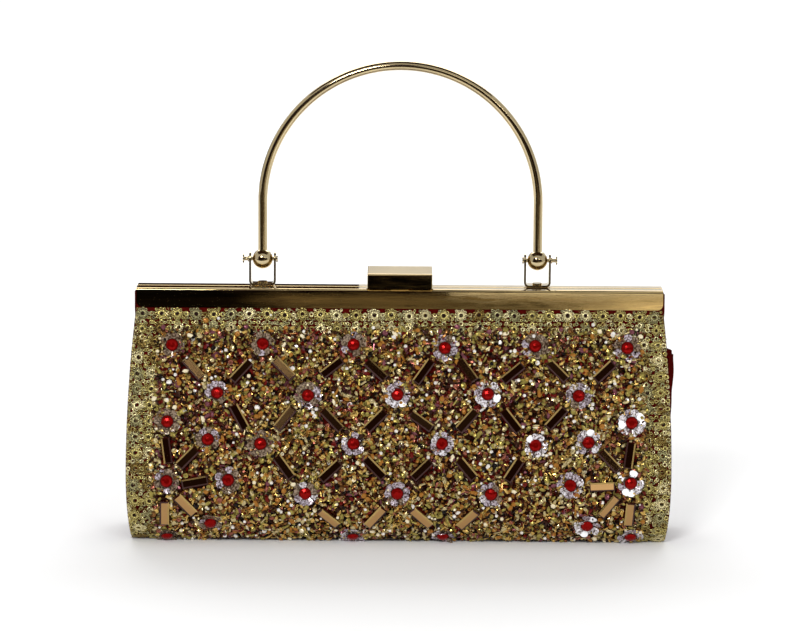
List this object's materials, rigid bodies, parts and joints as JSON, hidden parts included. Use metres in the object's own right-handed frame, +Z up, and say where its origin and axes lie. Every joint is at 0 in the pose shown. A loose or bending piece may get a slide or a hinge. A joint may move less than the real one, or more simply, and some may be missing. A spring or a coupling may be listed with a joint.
{
  "type": "evening bag",
  "caption": "Small stiff beaded evening bag on a hinged metal frame, with a lift-up cap clasp and an arched metal handle that swings on two pinned yokes.",
  "frame": {"origin": "centre of the flat base, on the surface that the bag stands on", "axes": "+X along the bag to the viewer's right, -Y its beaded front, +Z up"},
  "size_m": [0.2372, 0.0568, 0.2085],
  "materials": {
    "satin": "dark red satin",
    "beadwork": "satin covered with gold, bronze and amber seed beads",
    "lining": "dark red lining satin",
    "board": "stiffening board",
    "packing": "twisted paper cord",
    "frame_metal": "polished pale gold plate",
    "handle_metal": "polished pale gold plate",
    "steel": "plated steel strip",
    "sequin": "clear iridescent scalloped sequin",
    "red_stone": "faceted red stone",
    "mirror_bead": "mirror-backed baguette bead",
    "gold_net": "gold metallic guipure net"
  },
  "bodies": {
    "pouch": {"baguette_beads": "mirror_bead", "base_lining": "lining", "base_outer_panel": "satin", "base_stiffener": "board", "flower_sequins": "sequin", "front_fold": "beadwork", "front_lining": "lining", "front_outer_panel": "beadwork", "front_stiffener": "board", "gusset_left": "satin", "gusset_lining_left": "lining", "gusset_lining_right": "lining", "gusset_right": "satin", "gusset_top_left": "satin", "gusset_top_right": "satin", "net_border_left": "gold_net", "net_border_right": "gold_net", "rear_fold": "satin", "rear_lining": "lining", "rear_outer_panel": "satin", "rear_stiffener": "board", "red_stones": "red_stone", "slip_pocket": "lining", "top_flowers": "sequin", "top_stones": "red_stone"},
    "front_frame": {"clasp_catch": "steel", "clasp_striker": "frame_metal", "front_arm_left": "steel", "front_arm_right": "steel", "front_arm_rivets": "steel", "front_bar": "frame_metal", "front_packing_cord": "packing", "front_top_cloth": "beadwork", "front_top_stiffener": "board", "net_border_top": "gold_net", "striker_rivets": "steel"},
    "rear_frame": {"bracket_rivets": "steel", "clasp_bracket": "frame_metal", "clasp_pin": "steel", "clasp_spring": "steel", "handle_yoke_left": "frame_metal", "handle_yoke_right": "frame_metal", "hinge_rivet_left": "steel", "hinge_rivet_right": "steel", "rear_arm_left": "steel", "rear_arm_right": "steel", "rear_arm_rivets": "steel", "rear_bar": "frame_metal", "rear_packing_cord": "packing", "rear_top_cloth": "satin", "rear_top_stiffener": "board", "yoke_rivet_left": "frame_metal", "yoke_rivet_right": "frame_metal"},
    "handle": {"handle_arch": "handle_metal", "handle_ball_left": "handle_metal", "handle_ball_right": "handle_metal", "handle_pin_left": "handle_metal", "handle_pin_right": "handle_metal"},
    "clasp": {"clasp_cap": "frame_metal"}
  },
  "joints": [
    {"name": "front_open", "type": "hinge", "parent": "pouch", "child": "front_frame", "pos_m": [0, 0, 0.084], "axis": [1, 0, 0], "range_deg": [0, 40], "deforming": ["front_fold", "top_flowers", "top_stones", "net_border_top", "gusset_top_left", "gusset_top_right", "clasp_catch"]},
    {"name": "rear_open", "type": "hinge", "parent": "pouch", "child": "rear_frame", "pos_m": [0, 0, 0.084], "axis": [1, 0, 0], "range_deg": [-40, 0], "deforming": ["rear_fold", "gusset_top_left", "gusset_top_right"]},
    {"name": "handle_swing", "type": "hinge", "parent": "rear_frame", "child": "handle", "pos_m": [0, 0.00358, 0.1215], "axis": [1, 0, 0], "range_deg": [-120, 120]},
    {"name": "clasp_lift", "type": "hinge", "parent": "rear_frame", "child": "clasp", "pos_m": [0, 0.0084, 0.1102], "axis": [-1, 0, 0], "range_deg": [0, 70], "deforming": ["clasp_catch", "clasp_spring"]}
  ],
  "couplings": [
    {"joint": "rear_open", "follows": "front_open", "ratio": -1}
  ]
}
